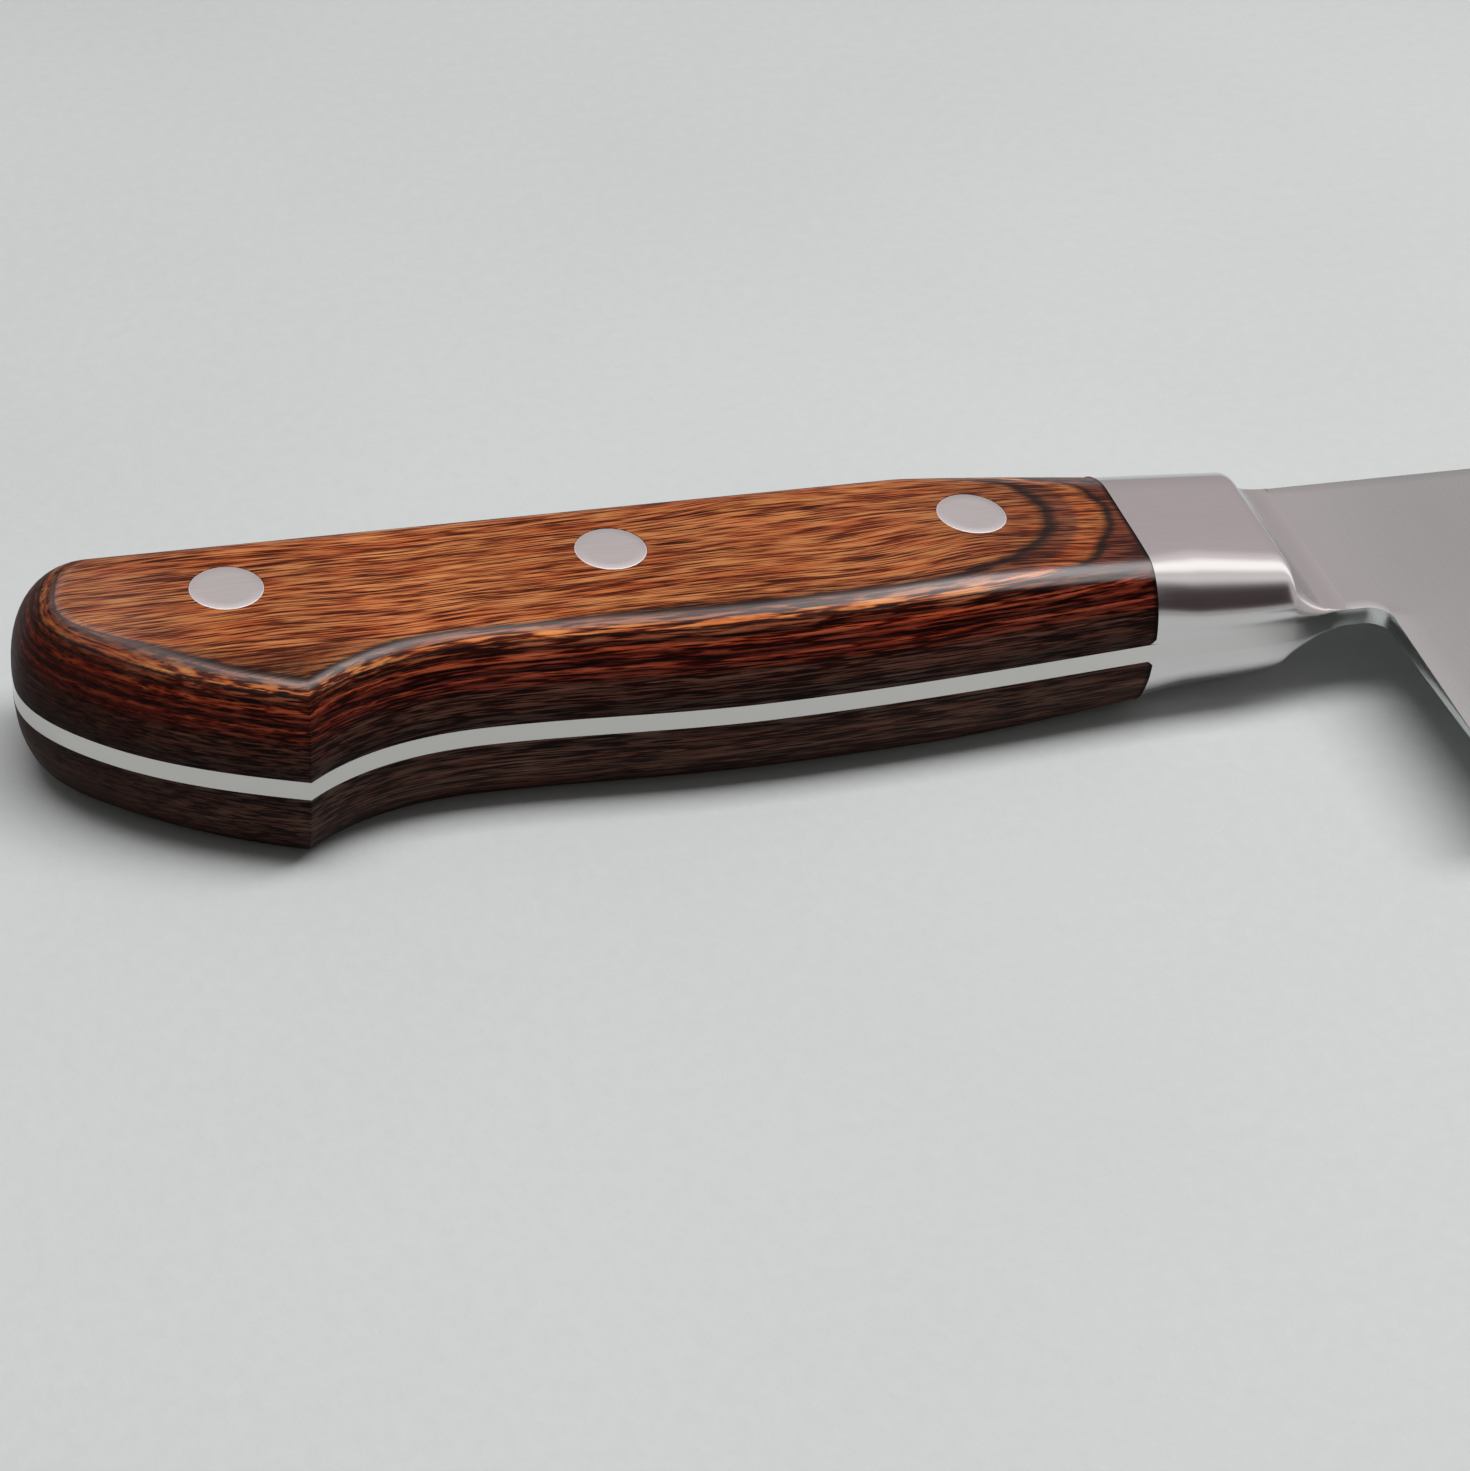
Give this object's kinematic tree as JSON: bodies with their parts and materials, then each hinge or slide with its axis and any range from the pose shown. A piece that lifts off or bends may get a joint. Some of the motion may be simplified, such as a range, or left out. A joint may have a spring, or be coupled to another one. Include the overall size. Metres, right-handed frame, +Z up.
{
  "type": "gyuto kitchen knife",
  "caption": "Chef's knife lying flat: full-tang satin steel blade, polished bolster halves and contoured laminated wood scales held by flush round rivets.",
  "frame": {"origin": "centre of the bounding box at its bottom, on the plane that the knife lies on", "axes": "+X from the butt of the handle to the tip, +Y from the edge to the spine in the plane of the blade, +Z up, square to the faces of the blade"},
  "size_m": [0.3748, 0.051, 0.0194],
  "materials": {
    "blade_steel": "satin ground, fine lines from spine to edge",
    "bolster_steel": "polished, softly mirrored",
    "pakkawood": "lacquered resin-bonded laminate, red-brown and black layers",
    "rivet_metal": "ground flush, satin"
  },
  "bodies": {
    "root": {"blade": "blade_steel", "bolster_upper": "bolster_steel", "bolster_lower": "bolster_steel", "scale_upper": "pakkawood", "scale_lower": "pakkawood", "rivet_rear_stud": "rivet_metal", "rivet_rear_socket": "rivet_metal", "rivet_middle_stud": "rivet_metal", "rivet_middle_socket": "rivet_metal", "rivet_front_stud": "rivet_metal", "rivet_front_socket": "rivet_metal"}
  },
  "joints": []
}
